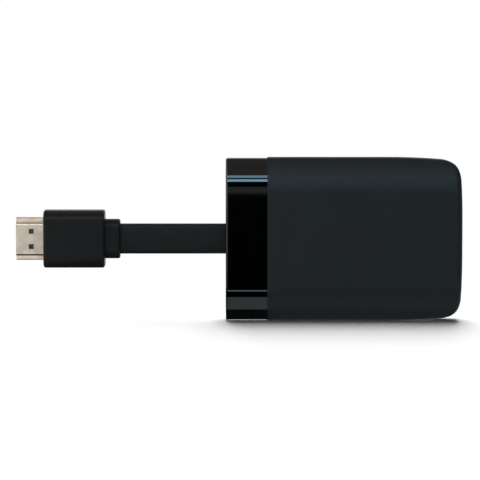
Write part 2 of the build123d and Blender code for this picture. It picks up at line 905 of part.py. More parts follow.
with BuildPart() as inlet_shell:
    with BuildSketch(across(inlet_rear)):
        add(inlet_slot(0))
        add(inlet_slot(inlet_sheet), mode=Mode.SUBTRACT)
    extrude(amount=inlet_length)
    # Legs through the board
    with BuildSketch(facing(board_back + slip)):
        with Locations((inlet_mouth - inlet_length / 2, 0)):
            with GridLocations(inlet_leg_spread, inlet_width - inlet_sheet, 2, 2):
                Rectangle(inlet_leg_width, inlet_sheet)
    extrude(amount=board_back + slip)
inlet_shell.part.label = "inlet_shell"
export_step(inlet_shell.part, "parts/inlet_shell.step")

with BuildPart() as inlet_tongue:
    with BuildSketch(across(inlet_rear)):
        add(inlet_slot(inlet_sheet + fit))
    extrude(amount=inlet_base)
    with BuildSketch(across(inlet_rear)):
        Rectangle(inlet_tongue_height, inlet_tongue_width)
    extrude(amount=inlet_length - inlet_tongue_setback)
inlet_tongue.part.label = "inlet_tongue"
export_step(inlet_tongue.part, "parts/inlet_tongue.step")

with BuildPart() as inlet_contacts:
    for side in (-1, 1):
        with BuildSketch(facing(side * inlet_tongue_height / 2)):
            with Locations((inlet_rear + inlet_base + inlet_contact_length / 2 + slip, 0)):
                with GridLocations(inlet_contact_pitch, inlet_contact_pitch, 1, inlet_contact_count):
                    Rectangle(inlet_contact_length, inlet_contact_width)
        extrude(amount=-side * inlet_contact_height)
inlet_contacts.part.label = "inlet_contacts"
export_step(inlet_contacts.part, "parts/inlet_contacts.step")

# Reset button: a round-ended cap, a square-cornered flange behind the wall and a stem
with BuildPart() as reset_button:
    with BuildSketch(across(stem_end)):
        with Locations((0, button_z)):
            Rectangle(button_stem_height, button_stem_width)
    extrude(amount=button_stem_length)
    with BuildSketch(across(flange_rear)):
        with Locations((0, button_z)):
            Rectangle(button_height + button_flange_margin, button_width + button_flange_margin)
    extrude(amount=button_flange_height)
    with BuildSketch(across(flange_front)):
        with Locations((0, button_z)):
            SlotOverall(button_width, button_height, rotation=90)
    extrude(amount=end_x - button_recess - flange_front)
    chamfer(reset_button.faces().sort_by(Axis.X)[-1].edges(), length=button_chamfer)
reset_button.part.label = "reset_button"
export_step(reset_button.part, "parts/reset_button.step")

# Side-acting switch behind the button, and its plunger
with BuildPart() as switch_body:
    with BuildSketch(facing(board_front)):
        with Locations((switch_front - switch_length / 2, button_z)):
            Rectangle(switch_length, switch_width)
    extrude(amount=switch_height)
    with BuildSketch(across(switch_front)):
        with Locations((plunger_y, button_z)):
            Rectangle(plunger_height + 2 * fit, plunger_width + 2 * fit)
    extrude(amount=-(plunger_length - switch_gap + button_travel + slip), mode=Mode.SUBTRACT)
switch_body.part.label = "switch_body"
export_step(switch_body.part, "parts/switch_body.step")

with BuildPart() as switch_plunger:
    with BuildSketch(across(stem_end)):
        with Locations((plunger_y, button_z)):
            Rectangle(plunger_height, plunger_width)
    extrude(amount=-plunger_length)
switch_plunger.part.label = "switch_plunger"
export_step(switch_plunger.part, "parts/switch_plunger.step")


# Lead and its fixing
def lead_section(margin):
    """Flat section of the lead, grown by margin."""
    with BuildSketch() as section:
        RectangleRounded(lead_thickness + 2 * margin, lead_width + 2 * margin, lead_corner + margin)
    return section.sketch


with BuildPart() as flat_lead:
    with BuildSketch(across(premould_rear)):
        add(lead_section(0))
    extrude(amount=lead_inner_x - premould_rear)
flat_lead.part.label = "flat_lead"
export_step(flat_lead.part, "parts/flat_lead.step")

with BuildPart() as lead_anchor:
    with BuildSketch(across(cap_inner_x + fit)) as anchor_block:
        Rectangle(anchor_thickness, anchor_width)
        chamfer(anchor_block.vertices(), length=anchor_corner)
        add(lead_section(fit), mode=Mode.SUBTRACT)
    extrude(amount=anchor_length)
lead_anchor.part.label = "lead_anchor"
export_step(lead_anchor.part, "parts/lead_anchor.step")

with BuildPart() as lead_wires:
    with BuildSketch(across(lead_inner_x)):
        with GridLocations(wire_pitch, wire_pitch, 1, wire_count):
            Circle(wire_diameter / 2)
    extrude(amount=wire_length)
lead_wires.part.label = "lead_wires"
export_step(lead_wires.part, "parts/lead_wires.step")

terminal_start = lead_inner_x + wire_length
with BuildPart() as lead_terminal:
    with BuildSketch(across(terminal_start)):
        Rectangle(terminal_thickness, terminal_width)
    extrude(amount=terminal_length)
    chamfer(lead_terminal.faces().sort_by(Axis.X)[-1].edges(), length=terminal_chamfer)
lead_terminal.part.label = "lead_terminal"
export_step(lead_terminal.part, "parts/lead_terminal.step")

header_start = terminal_start + header_wall / 2
header_end = terminal_start + terminal_length + fit + header_wall
with BuildPart() as lead_header:
    with BuildSketch(facing(board_front)):
        with Locations(((header_start + header_end) / 2, 0)):
            Rectangle(header_end - header_start, terminal_width + 2 * fit + 2 * header_wall)
    extrude(amount=board_front + terminal_thickness / 2 + fit + header_roof)
    with BuildSketch(across(header_start)):
        Rectangle(terminal_thickness + 2 * fit, terminal_width + 2 * fit)
    extrude(amount=header_end - header_start - header_wall, mode=Mode.SUBTRACT)
lead_header.part.label = "lead_header"
export_step(lead_header.part, "parts/lead_header.step")


# Plug
def plug_section(margin):
    """D-shaped section of the plug shell, grown by margin, with its narrow side to the front."""
    half_height = plug_height / 2
    half_width = plug_width / 2
    half_narrow = plug_narrow / 2
    step_y = plug_step_depth - half_height
    with BuildSketch() as section:
        with BuildLine():
            FilletPolyline(
                (-half_height, 0),
                (-half_height, half_narrow),
                (step_y, half_narrow + plug_step_spread),
                (step_y + plug_slope_depth, half_width),
                (half_height, half_width),
                (half_height, 0),
                radius=[plug_narrow_radius, plug_step_radius, plug_wide_radius, plug_wide_radius],
            )
            mirror(about=Plane.XZ)
        make_face()
        if margin:
            offset(amount=margin)
    return section.sketch


with BuildPart() as strain_relief:
    with BuildSketch(across(mould_end - stub_root)):
        RectangleRounded(stub_thickness, stub_width, stub_corner)
    extrude(amount=stub_length + stub_root)
    fillet(strain_relief.faces().sort_by(Axis.X)[-1].edges(), radius=stub_edge_radius)
    with BuildSketch(across(mould_end - stub_root)):
        add(lead_section(fit))
    extrude(amount=stub_length + stub_root, mode=Mode.SUBTRACT)
strain_relief.part.label = "strain_relief"
export_step(strain_relief.part, "parts/strain_relief.step")

collar_section = lead_section(fit + can_sheet)
with BuildPart() as plug_overmould:
    with BuildSketch(across(mould_face)):
        RectangleRounded(mould_thickness, mould_width, mould_corner)
    extrude(amount=mould_length)
    end_faces = plug_overmould.faces().filter_by(Axis.X)
    fillet(end_faces.edges(), radius=mould_edge_radius)
    # Mouth round the plug shell
    with BuildSketch(across(mould_face)):
        add(plug_section(plug_flange + fit))
    extrude(amount=can_front - mould_face, mode=Mode.SUBTRACT)
    # Room for the can, its collar, the lead and the root of the strain relief
    with BuildSketch(across(can_front - fit)):
        Rectangle(can_thickness + 2 * fit, can_width + 2 * fit)
    extrude(amount=can_length + 2 * fit, mode=Mode.SUBTRACT)
    with BuildSketch(across(can_rear)):
        add(lead_section(2 * fit + can_sheet))
    extrude(amount=collar_length + fit, mode=Mode.SUBTRACT)
    with BuildSketch(across(can_rear)):
        add(lead_section(fit))
    extrude(amount=mould_end - can_rear, mode=Mode.SUBTRACT)
    with BuildSketch(across(mould_end - stub_root - fit)):
        RectangleRounded(stub_thickness + 2 * fit, stub_width + 2 * fit, stub_corner + fit)
    extrude(amount=stub_root + fit, mode=Mode.SUBTRACT)
plug_overmould.part.label = "plug_overmould"
export_step(plug_overmould.part, "parts/plug_overmould.step")

# Shield can: a drawn box round the moulding inside, with a collar crimped on the lead
with BuildPart() as plug_can:
    with BuildSketch(across(can_front)):
        RectangleRounded(can_thickness, can_width, can_corner)
    extrude(amount=can_length)
    with BuildSketch(across(can_front)):
        RectangleRounded(can_thickness - 2 * can_sheet, can_width - 2 * can_sheet, can_corner - can_sheet)
    extrude(amount=can_length - can_sheet, mode=Mode.SUBTRACT)
    with BuildSketch(across(can_rear)):
        add(collar_section)
    extrude(amount=collar_length)
    with BuildSketch(across(can_rear - can_sheet)):
        add(lead_section(fit))
    extrude(amount=collar_length + can_sheet, mode=Mode.SUBTRACT)
plug_can.part.label = "plug_can"
export_step(plug_can.part, "parts/plug_can.step")

with BuildPart() as plug_premould:
    with BuildSketch(across(premould_front)):
        RectangleRounded(
            can_thickness - 2 * can_sheet - 2 * slip,
            can_width - 2 * can_sheet - 2 * slip,
            can_corner - can_sheet - slip,
        )
    extrude(amount=premould_length)
plug_premould.part.label = "plug_premould"
export_step(plug_premould.part, "parts/plug_premould.step")

# Plug shell: a folded tube with a flange at the moulding and latch windows on both faces
with BuildPart() as hdmi_shell:
    with BuildSketch(across(plug_tip)):
        add(plug_section(0))
    extrude(amount=plug_rear - plug_tip)
    with BuildSketch(across(mould_face - plug_flange_length)):
        add(plug_section(plug_flange))
    extrude(amount=2 * plug_flange_length)
    with BuildSketch(across(plug_tip)):
        add(plug_section(-plug_sheet))
    extrude(amount=plug_rear - plug_tip, mode=Mode.SUBTRACT)
    with BuildSketch(facing(0)):
        with Locations((plug_tip + window_from_tip, 0)):
            with GridLocations(window_length, window_pitch, 1, 2):
                Rectangle(window_length, window_width)
    extrude(amount=plug_height, both=True, mode=Mode.SUBTRACT)
hdmi_shell.part.label = "hdmi_shell"
export_step(hdmi_shell.part, "parts/hdmi_shell.step")

with BuildPart() as hdmi_insulator:
    with BuildSketch(across(insulator_front)):
        add(plug_section(-plug_sheet - fit))
        with Locations((mouth_y, 0)):
            Rectangle(mouth_height, mouth_width, mode=Mode.SUBTRACT)
    extrude(amount=plug_rear - insulator_front)
hdmi_insulator.part.label = "hdmi_insulator"
export_step(hdmi_insulator.part, "parts/hdmi_insulator.step")

# Contacts: ten along the wide side of the mouth and nine along the narrow side
contact_length = plug_rear - insulator_front - contact_setback
with BuildPart() as hdmi_contacts:
    for row, side in ((wide_row, 1), (narrow_row, -1)):
        with BuildSketch(facing(mouth_y + side * mouth_height / 2)):
            with Locations((insulator_front + contact_setback + contact_length / 2, 0)):
                with GridLocations(contact_pitch, contact_pitch, 1, row):
                    Rectangle(contact_length, contact_width)
        extrude(amount=side * contact_height)
hdmi_contacts.part.label = "hdmi_contacts"
export_step(hdmi_contacts.part, "parts/hdmi_contacts.step")
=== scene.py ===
import bmesh
import bpy
import json
import math
from mathutils import Matrix, Vector


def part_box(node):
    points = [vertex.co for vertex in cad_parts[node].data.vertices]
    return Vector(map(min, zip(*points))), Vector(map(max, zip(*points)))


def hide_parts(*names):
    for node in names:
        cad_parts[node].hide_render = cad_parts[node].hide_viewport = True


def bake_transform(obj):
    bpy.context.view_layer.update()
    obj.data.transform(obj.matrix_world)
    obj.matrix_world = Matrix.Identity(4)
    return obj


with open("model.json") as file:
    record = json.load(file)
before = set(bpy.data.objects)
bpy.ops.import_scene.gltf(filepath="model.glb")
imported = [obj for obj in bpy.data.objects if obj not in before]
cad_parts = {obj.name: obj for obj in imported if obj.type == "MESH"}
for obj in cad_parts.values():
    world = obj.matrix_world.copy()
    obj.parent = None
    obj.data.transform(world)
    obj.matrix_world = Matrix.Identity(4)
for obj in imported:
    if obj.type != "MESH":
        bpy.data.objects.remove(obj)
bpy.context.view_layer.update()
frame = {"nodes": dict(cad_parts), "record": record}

# Lengths are in metres. The camera looks along +Y at the stick's front face, which stands on Z = 0.
MM = 0.001
cap_low, cap_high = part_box("gloss_end_cap")
lead_low, lead_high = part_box("flat_lead")
stub_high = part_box("strain_relief")[1]
middle_z = (cap_low.z + cap_high.z) / 2


def linear(code):
    """Linear colour of an sRGB hex value."""
    channels = [int(code[i:i + 2], 16) / 255 for i in (1, 3, 5)]
    return [c / 12.92 if c <= 0.04045 else ((c + 0.055) / 1.055) ** 2.4 for c in channels] + [1]


def add_node(tree, kind, inputs=None, **settings):
    """Add a node with its settings. An input is a value, or a socket of another node to link."""
    node = tree.nodes.new(kind)
    for name, value in settings.items():
        setattr(node, name, value)
    for name, value in (inputs or {}).items():
        if isinstance(value, bpy.types.NodeSocket):
            tree.links.new(value, node.inputs[name])
        else:
            node.inputs[name].default_value = value
    return node


# Camera: a long lens, square to the front face and a little above it. The picture's scale comes from
# the plug shell, which is a standard part, and its place from the housing's middle and foot.
PICTURE_PIXELS = 480
PIXELS_PER_MM = 3.072
HOUSING_MIDDLE_PIXEL = 343.4
FOOT_PIXEL = 319.9
CAMERA_RISE = math.radians(4)
LENS_MM = 200
SENSOR_MM = 36


def set_camera():
    """Aim the camera so that the stick lies in the picture where it does in the photograph."""
    width = PICTURE_PIXELS / PIXELS_PER_MM * MM
    aim = Vector((
        (PICTURE_PIXELS / 2 - HOUSING_MIDDLE_PIXEL) / PIXELS_PER_MM * MM,
        0,
        (FOOT_PIXEL - PICTURE_PIXELS / 2) / PIXELS_PER_MM * MM,
    ))
    back = Vector((0, -math.cos(CAMERA_RISE), math.sin(CAMERA_RISE)))
    data = bpy.data.cameras.new("camera")
    data.lens = LENS_MM
    data.sensor_width = SENSOR_MM
    camera = bpy.data.objects.new("camera", data)
    camera.location = aim + back * width * LENS_MM / SENSOR_MM
    camera.rotation_mode = "QUATERNION"
    camera.rotation_quaternion = (-back).to_track_quat("-Z", "Y")
    bpy.context.scene.collection.objects.link(camera)
    bpy.context.scene.camera = camera


set_camera()
bpy.context.scene.view_settings.view_transform = "Standard"


def finish_piece(bm, name, smooth=True):
    """Turn a bmesh into an object that sits at the origin."""
    mesh = bpy.data.meshes.new(name)
    bm.to_mesh(mesh)
    bm.free()
    if smooth:
        mesh.shade_smooth()
    piece = bpy.data.objects.new(name, mesh)
    bpy.context.scene.collection.objects.link(piece)
    return piece


# Flat lead: a straight ribbon with rounded edges. It is as long as the photograph shows it, and
# its two ends are held inside the housing and inside the plug.
LEAD_CORNER = 1.2 * MM
LEAD_CORNER_STEPS = 6
LEAD_CUTS = 72
lead_exit = Vector((cap_low.x, 0, middle_z))


def lead_route():
    """Points along the lead's middle, read from a smooth spline."""
    control_points = [
        Vector((lead_high.x, 0, middle_z)),
        lead_exit,
        Vector((stub_high.x, 0, middle_z)),
        Vector((lead_low.x, 0, middle_z)),
    ]
    curve = bpy.data.curves.new("lead_route", "CURVE")
    curve.dimensions = "3D"
    spline = curve.splines.new("NURBS")
    spline.points.add(len(control_points) - 1)
    for point, place in zip(spline.points, control_points):
        point.co = (*place, 1)
    spline.order_u = 3
    spline.use_endpoint_u = True
    holder = bpy.data.objects.new("lead_route", curve)
    route = [vertex.co.copy() for vertex in bpy.data.meshes.new_from_object(holder).vertices]
    bpy.data.objects.remove(holder)
    return route


def make_lead():
    """Ribbon of the lead's width and thickness, cut across in short steps so that it bends evenly."""
    size = lead_high - lead_low
    bm = bmesh.new()
    bmesh.ops.create_cube(bm, size=1)
    bmesh.ops.scale(bm, vec=size, verts=bm.verts)
    bmesh.ops.translate(bm, vec=(lead_low + lead_high) / 2, verts=bm.verts)
    # Only the edges that run along the lead are longer than half of it
    bmesh.ops.bevel(
        bm, geom=[e for e in bm.edges if e.calc_length() > size.x / 2], offset=LEAD_CORNER,
        segments=LEAD_CORNER_STEPS, profile=0.5, affect="EDGES", material=-1,
    )
    long_edges = [e for e in bm.edges if e.calc_length() > size.x / 2]
    bmesh.ops.subdivide_edges(bm, edges=long_edges, cuts=LEAD_CUTS)
    return finish_piece(bm, "lead_jacket_moulding")


lead = make_lead()
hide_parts("flat_lead")
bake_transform(lead)
lead_route()


# The noise that makes patches seldom leaves this range
PATCH_LOW = 0.3
PATCH_HIGH = 0.7


def start_material(name, **shader_values):
    """New material. Returns it with its tree, its shader and the object's own coordinates."""
    material = bpy.data.materials.new(name)
    material.use_nodes = True
    tree = material.node_tree
    tree.nodes.clear()
    values = {socket.replace("_", " "): value for socket, value in shader_values.items()}
    shader = add_node(tree, "ShaderNodeBsdfPrincipled", values)
    add_node(tree, "ShaderNodeOutputMaterial", {"Surface": shader.outputs["BSDF"]})
    place = add_node(tree, "ShaderNodeTexCoord").outputs["Object"]
    return material, tree, shader, place


def finish_surface(material, tree, shader, colour, rough_factor, rough, relief, depth_mm):
    """Link the colour, the roughness range and the fine relief to the shader."""
    tree.links.new(colour, shader.inputs["Base Color"])
    spread = add_node(
        tree, "ShaderNodeMapRange", {"Value": rough_factor, "To Min": rough[0], "To Max": rough[1]},
    )
    tree.links.new(spread.outputs["Result"], shader.inputs["Roughness"])
    bump = add_node(tree, "ShaderNodeBump", {"Height": relief, "Distance": depth_mm * MM})
    tree.links.new(bump.outputs["Normal"], shader.inputs["Normal"])
    return material


def surface(name, codes, rough, patch_mm, grain_mm, depth_mm, stretch=(1, 1, 1), **shader_values):
    """Finish with slow patches of near colours and of roughness, and a fine relief over them.

    The relief's grain is drawn out along an axis where stretch is less than 1.
    """
    material, tree, shader, place = start_material(name, **shader_values)
    patches = add_node(
        tree, "ShaderNodeTexNoise", {"Vector": place, "Scale": 1 / (patch_mm * MM), "Detail": 3},
    )
    drawn = add_node(tree, "ShaderNodeMapping", {"Vector": place, "Scale": stretch})
    grain = add_node(
        tree, "ShaderNodeTexNoise",
        {"Vector": drawn.outputs["Vector"], "Scale": 1 / (grain_mm * MM), "Detail": 2},
    )
    ramp = add_node(tree, "ShaderNodeValToRGB", {"Fac": patches.outputs["Fac"]})
    stops = ramp.color_ramp.elements
    for _ in codes[2:]:
        stops.new(0.5)
    for index, code in enumerate(codes):
        stops[index].position = PATCH_LOW + (PATCH_HIGH - PATCH_LOW) * index / (len(codes) - 1)
        stops[index].color = linear(code)
    return finish_surface(
        material, tree, shader, ramp.outputs["Color"], patches.outputs["Fac"], rough,
        grain.outputs["Fac"], depth_mm,
    )


finishes = {}

# Housing halves: ABS moulded and then sprayed with soft-touch lacquer. A very dark blue-grey with a
# broad dull sheen, and a grain that is too fine to see, drawn here as coarse as one pixel.
finishes["soft_touch_shell"] = surface(
    "soft_touch_lacquer_on_abs", ["#0b1216", "#0e1519"],
    rough=(0.50, 0.56), patch_mm=16, grain_mm=0.35, depth_mm=0.002, Specular_IOR_Level=0.27,
)

# End cap: ABS from a polished tool. Almost black, with mirror reflections that barely waver.
finishes["gloss_cap"] = surface(
    "polished_piano_black_abs", ["#020304", "#030405"],
    rough=(0.02, 0.035), patch_mm=9, grain_mm=5, depth_mm=0.001,
)

# Reset button: ABS with a fine spark-eroded grain, a touch greyer than the shell round it.
finishes["button_plastic"] = surface(
    "spark_textured_abs", ["#17191b", "#1e2022"],
    rough=(0.45, 0.55), patch_mm=2, grain_mm=0.3, depth_mm=0.01,
)

# Lead: extruded TPE. Dark grey, half dull, with faint lines along the way it left the die.
finishes["lead_jacket"] = surface(
    "extruded_tpe", ["#131617", "#171a1b"],
    rough=(0.44, 0.54), patch_mm=0.8, grain_mm=0.35, depth_mm=0.008, stretch=(0.02, 1, 1),
    Specular_IOR_Level=0.15,
)

# Plug body and strain relief: TPE moulded over the plug, in a tool with a fine even grain.
finishes["plug_moulding"] = surface(
    "fine_grain_moulded_tpe", ["#131415", "#161718"],
    rough=(0.38, 0.44), patch_mm=6, grain_mm=0.3, depth_mm=0.006, Specular_IOR_Level=0.14,
)

# Plug shell and inlet shell: rolled steel strip, folded and nickel plated. Warm grey and half bright,
# with handling smudges and the fine lines of the rolling.
finishes["nickel_plate"] = surface(
    "nickel_plated_steel", ["#cbbcab", "#ddd0c0", "#e7dccd"],
    rough=(0.24, 0.34), patch_mm=3.5, grain_mm=0.35, depth_mm=0.003, stretch=(0.06, 1, 1), Metallic=1.0,
)

# Insulators and the switch's body: glass-filled liquid-crystal polymer. Brown-black, with pale flow
# marks of its short fibres.
finishes["black_insulator"] = surface(
    "glass_filled_lcp", ["#34281e", "#3f3226", "#4a3c30"],
    rough=(0.5, 0.66), patch_mm=1.2, grain_mm=0.2, depth_mm=0.006, Specular_IOR_Level=0.25,
)

# Contacts: phosphor bronze with a gold flash. Yellow, half bright, with lines from stamping.
finishes["gold_contact"] = surface(
    "gold_flashed_bronze", ["#c9963e", "#deb45a"],
    rough=(0.2, 0.34), patch_mm=1.0, grain_mm=0.15, depth_mm=0.002, stretch=(0.1, 1, 1), Metallic=1.0,
)


def printed_board():
    """Green solder mask over copper tracks on glass laminate: glossy, raised along the tracks.

    The pattern's widths and heights are in millimetres.
    """
    material, tree, shader, place = start_material("green_solder_mask_on_fr4")
    flat = add_node(tree, "ShaderNodeMapping", {"Vector": place, "Rotation": (math.pi / 2, 0, 0)})
    cells = add_node(
        tree, "ShaderNodeTexBrick",
        {
            "Vector": flat.outputs["Vector"], "Scale": 1 / MM, "Mortar Size": 0.11, "Mortar Smooth": 0.1,
            "Brick Width": 3.1, "Row Height": 0.62,
            "Color1": linear("#0c3a22"), "Color2": linear("#0f4529"), "Mortar": linear("#1d6a3c"),
        },
    )
    weave = add_node(tree, "ShaderNodeTexNoise", {"Vector": place, "Scale": 1 / (0.5 * MM), "Detail": 2})
    return finish_surface(
        material, tree, shader, cells.outputs["Color"], weave.outputs["Fac"], rough=(0.16, 0.3),
        relief=cells.outputs["Fac"], depth_mm=0.02,
    )


finishes["solder_mask"] = printed_board()

# Chips: transfer-moulded epoxy. Dark grey, finely pitted by the tool.
finishes["chip_epoxy"] = surface(
    "transfer_moulded_epoxy", ["#18191a", "#212223"],
    rough=(0.5, 0.62), patch_mm=2.5, grain_mm=0.18, depth_mm=0.01,
)

# Shield cans, antennas and the crystal's case: tinned steel or brass, rolled one way and a bit dull.
finishes["tinned_sheet"] = surface(
    "rolled_tinplate", ["#a9aba9", "#bfc0bd"],
    rough=(0.24, 0.38), patch_mm=4, grain_mm=0.3, depth_mm=0.004, stretch=(0.05, 1, 1), Metallic=1.0,
)

# Heat spreader: die-cast aluminium, with the coarse dull skin of the casting.
finishes["cast_aluminium"] = surface(
    "die_cast_aluminium", ["#84878a", "#9da0a2"],
    rough=(0.46, 0.62), patch_mm=5, grain_mm=0.6, depth_mm=0.03, Metallic=1.0,
)

# Thermal pads: soft filled silicone, grey-blue, matte and slightly uneven.
finishes["soft_pad"] = surface(
    "filled_silicone_pad", ["#6f8094", "#8091a5"],
    rough=(0.7, 0.85), patch_mm=1.5, grain_mm=0.4, depth_mm=0.04,
)

# Lead's terminal, its header and the block inside the plug: natural nylon, milky and half dull.
finishes["nylon_white"] = surface(
    "natural_nylon", ["#d8d2c0", "#e6e1d2"],
    rough=(0.38, 0.5), patch_mm=3, grain_mm=0.5, depth_mm=0.01,
)

# Wires: thin extruded insulation, pale grey, smooth.
finishes["wire_insulation"] = surface(
    "extruded_wire_insulation", ["#8c9196", "#a5aaae"],
    rough=(0.32, 0.42), patch_mm=0.8, grain_mm=0.2, depth_mm=0.004,
)

# Anchor: hard TPE moulded round the lead's end.
finishes["anchor_moulding"] = surface(
    "hard_moulded_tpe", ["#1c1d1e", "#262728"],
    rough=(0.5, 0.62), patch_mm=2, grain_mm=0.3, depth_mm=0.015,
)

# Inductors: pressed ferrite powder, dark warm grey and sandy.
finishes["ferrite"] = surface(
    "pressed_ferrite", ["#2b2927", "#3b3835"],
    rough=(0.62, 0.8), patch_mm=0.8, grain_mm=0.12, depth_mm=0.02,
)

# Capacitors: fired barium titanate ceramic, tan, with a dull glaze.
finishes["ceramic"] = surface(
    "fired_ceramic", ["#9c7c58", "#b8966e"],
    rough=(0.4, 0.55), patch_mm=0.7, grain_mm=0.1, depth_mm=0.006,
)

# Infrared receiver: dark dyed epoxy, glossy as moulded.
finishes["dark_lens"] = surface(
    "dyed_clear_epoxy", ["#0e0a0c", "#161014"],
    rough=(0.08, 0.16), patch_mm=1.5, grain_mm=0.4, depth_mm=0.002,
)

# Status light: white reflector filled with a yellowish phosphor gel.
finishes["led_white"] = surface(
    "phosphor_gel", ["#e8dfa6", "#f4f0dc"],
    rough=(0.25, 0.4), patch_mm=0.5, grain_mm=0.1, depth_mm=0.004,
)

# Light pipe: clear acrylic with polished ends.
finishes["clear_acrylic"] = surface(
    "clear_acrylic", ["#f2f4f5", "#ffffff"],
    rough=(0.03, 0.08), patch_mm=2, grain_mm=0.6, depth_mm=0.001, IOR=1.49, Transmission_Weight=1.0,
)

# Screws: rolled steel with black zinc plate, rubbed grey in places.
finishes["screw_steel"] = surface(
    "black_zinc_plated_steel", ["#2c2d2f", "#4a4c4f"],
    rough=(0.28, 0.46), patch_mm=0.8, grain_mm=0.15, depth_mm=0.006, Metallic=1.0,
)

# Switch's plunger: moulded acetal, off-white and waxy.
finishes["plunger_plastic"] = surface(
    "moulded_acetal", ["#c4c0b4", "#d4d0c6"],
    rough=(0.3, 0.4), patch_mm=1.2, grain_mm=0.25, depth_mm=0.004,
)

node_slot = {part["node"]: part["material_slot"] for part in frame["record"]["subparts"]}
for name, node in frame["nodes"].items():
    for slot in node.material_slots:
        slot.material = finishes[node_slot[name]]
lead.data.materials.append(finishes["lead_jacket"])


# Studio: white paper under an even white world, a large soft lamp above and behind, a weak one in
# front, and four strip lamps that only reflections see. Cards that only reflections see are painted
# reflections, dark and light, which stand in for the dark room in front of the stick. A level of 1 is
# white, for a card, a lamp and the world alike.
ROOM_SIDE = 0.8
ROOM_FRONT = -0.8
SHADE_FILL = 0.03


def rising(distance, degrees, height=0.0):
    """(y, z) of a point in front of the stick at that distance and elevation, from that height."""
    angle = math.radians(degrees)
    return -distance * math.cos(angle), height + distance * math.sin(angle)


def seen_directly(tree):
    """1 for a ray from the camera, a mirror or a clear piece, and 0 for one that only lights."""
    path = add_node(tree, "ShaderNodeLightPath").outputs
    mirrored = add_node(
        tree, "ShaderNodeMath", {0: path["Is Camera Ray"], 1: path["Is Glossy Ray"]}, operation="ADD",
    )
    seen = add_node(
        tree, "ShaderNodeMath", {0: mirrored.outputs["Value"], 1: path["Is Transmission Ray"]},
        operation="ADD", use_clamp=True,
    )
    return seen.outputs["Value"]


def set_world():
    """Even white world. It is white where it is seen, and fills the shade at a low level."""
    world = bpy.data.worlds.new("white_studio")
    world.use_nodes = True
    tree = world.node_tree
    tree.nodes.clear()
    strength = add_node(
        tree, "ShaderNodeMapRange", {"Value": seen_directly(tree), "To Min": SHADE_FILL, "To Max": 1.0},
    )
    light = add_node(
        tree, "ShaderNodeBackground", {"Color": linear("#ffffff"), "Strength": strength.outputs["Result"]},
    )
    add_node(tree, "ShaderNodeOutputWorld", {"Surface": light.outputs["Background"]})
    bpy.context.scene.world = world


FLOOR_RADIUS = 1.2
FLOOR_SEGMENTS = 96
# The floor turns plain white between these distances from the stick's middle, and sideways nearer by
# FLOOR_STRETCH, because the photograph shows no shade beside the housing
# That white is painted light over the shade beside the housing and over the plug's shadow
WHITE_STARTS = 0.16
WHITE_FULL = 0.32
FLOOR_STRETCH = (4.5, 1, 1)


def add_floor():
    """White paper floor, dull, which keeps the stick's shadow and is plain white farther out."""
    bm = bmesh.new()
    bmesh.ops.create_circle(bm, cap_ends=True, radius=FLOOR_RADIUS, segments=FLOOR_SEGMENTS)
    floor = finish_piece(bm, "paper_floor", smooth=False)
    material = surface(
        "white_paper", ["#f6f6f6", "#f8f8f8"],
        rough=(0.9, 1.0), patch_mm=40, grain_mm=40, depth_mm=0.0, Specular_IOR_Level=0.0,
    )
    tree = material.node_tree
    place = add_node(tree, "ShaderNodeTexCoord").outputs["Object"]
    stretched = add_node(tree, "ShaderNodeVectorMath", {0: place, 1: FLOOR_STRETCH}, operation="MULTIPLY")
    reach = add_node(tree, "ShaderNodeVectorMath", {0: stretched.outputs["Vector"]}, operation="LENGTH")
    # The white glow beside the housing is painted light over its shade and over the plug's shadow
    far = add_node(
        tree, "ShaderNodeMapRange",
        {"Value": reach.outputs["Value"], "From Min": WHITE_STARTS, "From Max": WHITE_FULL},
    )
    white = add_node(tree, "ShaderNodeEmission", {"Color": linear("#ffffff"), "Strength": 1.0})
    factor = add_node(
        tree, "ShaderNodeMath", {0: far.outputs["Result"], 1: seen_directly(tree)}, operation="MULTIPLY",
    )
    mixed = add_node(
        tree, "ShaderNodeMixShader",
        {
            0: factor.outputs["Value"], 1: tree.nodes["Principled BSDF"].outputs["BSDF"],
            2: white.outputs["Emission"],
        },
    )
    tree.links.new(mixed.outputs["Shader"], tree.nodes["Material Output"].inputs["Surface"])
    floor.data.materials.append(material)


def add_lamp(name, centre, target, width, height, level, code, reflected):
    """Area lamp whose face shines at that level, seen either in reflections or by dull surfaces."""
    data = bpy.data.lights.new(name, "AREA")
    data.shape = "RECTANGLE"
    data.size = width
    data.size_y = height
    data.energy = level * math.pi * width * height
    data.color = linear(code)[:3]
    lamp = bpy.data.objects.new(name, data)
    lamp.location = centre
    lamp.rotation_mode = "QUATERNION"
    lamp.rotation_quaternion = (Vector(target) - Vector(centre)).to_track_quat("-Z", "Y")
    lamp.visible_camera = False
    lamp.visible_glossy = reflected
    lamp.visible_diffuse = not reflected
    bpy.context.scene.collection.objects.link(lamp)


set_world()
add_floor()
add_lamp(
    "back_softbox", (0, 1.262, 1.802), (0, 0, 0), width=1.0, height=3.08, level=9.6, code="#ffffff",
    reflected=False,
)
add_lamp(
    "front_fill", (0, -2.0, 0.08), (0, 0, 0.05), width=2.0, height=1.0, level=2.0, code="#ffffff",
    reflected=False,
)

